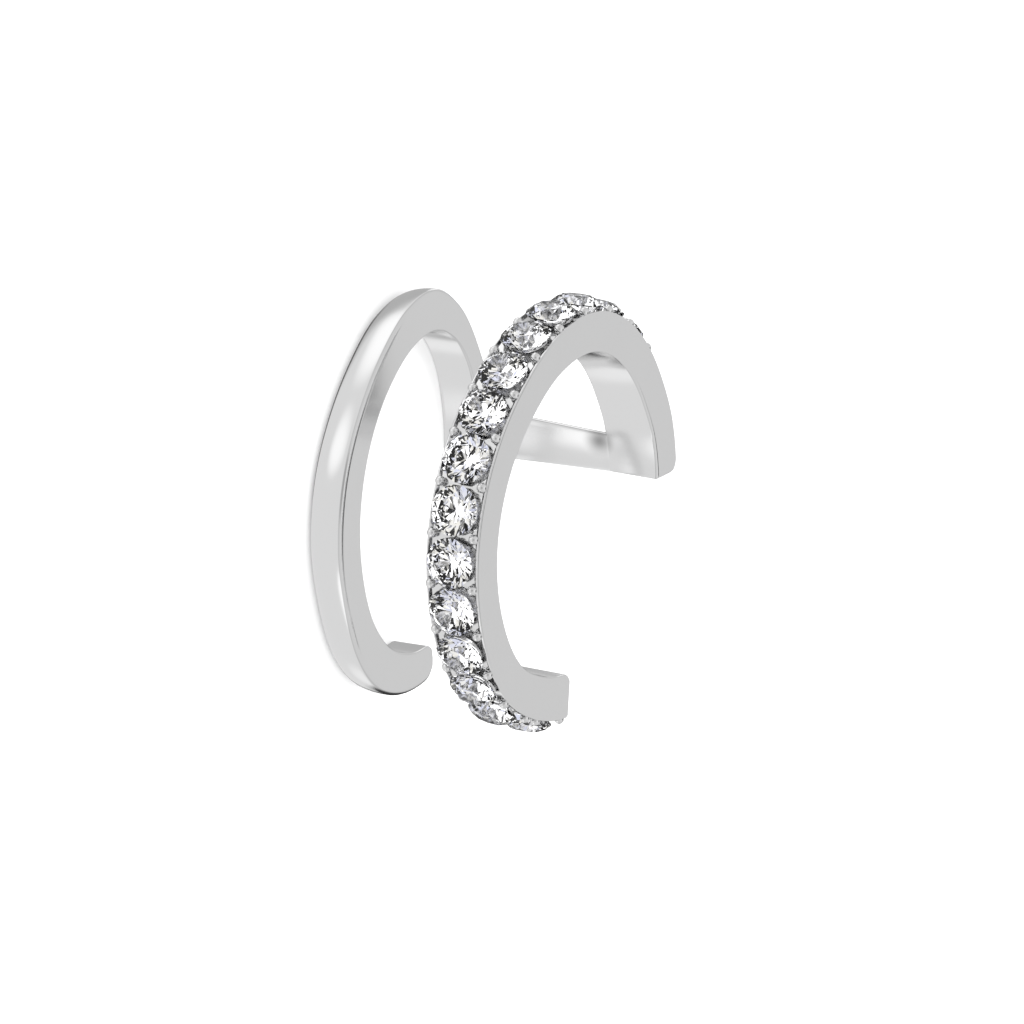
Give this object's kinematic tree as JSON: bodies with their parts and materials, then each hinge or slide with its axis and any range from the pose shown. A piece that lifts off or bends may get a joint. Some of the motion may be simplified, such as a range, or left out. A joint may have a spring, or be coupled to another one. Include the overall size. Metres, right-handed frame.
{
  "type": "ear cuff",
  "caption": "Ear cuff with a plain domed band and a band pave-set with cut stones, joined by a crossbar, that clips over the edge of the ear.",
  "frame": {"origin": "under the middle of the whole cuff, on the surface that the plain band's outer side face lies on", "axes": "+Z is the plain band's axis, from the plain band to the set band; +Y points out of the cuff's mouth"},
  "size_m": [0.0127, 0.0114, 0.007],
  "materials": {
    "plated_metal": "mirror-polished rhodium-like plating on brass",
    "clear_stone": "polished facets of a clear, strongly refracting stone"
  },
  "bodies": {
    "root": {"cuff_frame": "plated_metal", "stone_01": "clear_stone", "stone_02": "clear_stone", "stone_03": "clear_stone", "stone_04": "clear_stone", "stone_05": "clear_stone", "stone_06": "clear_stone", "stone_07": "clear_stone", "stone_08": "clear_stone", "stone_09": "clear_stone", "stone_10": "clear_stone", "stone_11": "clear_stone", "stone_12": "clear_stone", "stone_13": "clear_stone", "stone_14": "clear_stone", "stone_15": "clear_stone"}
  },
  "joints": []
}
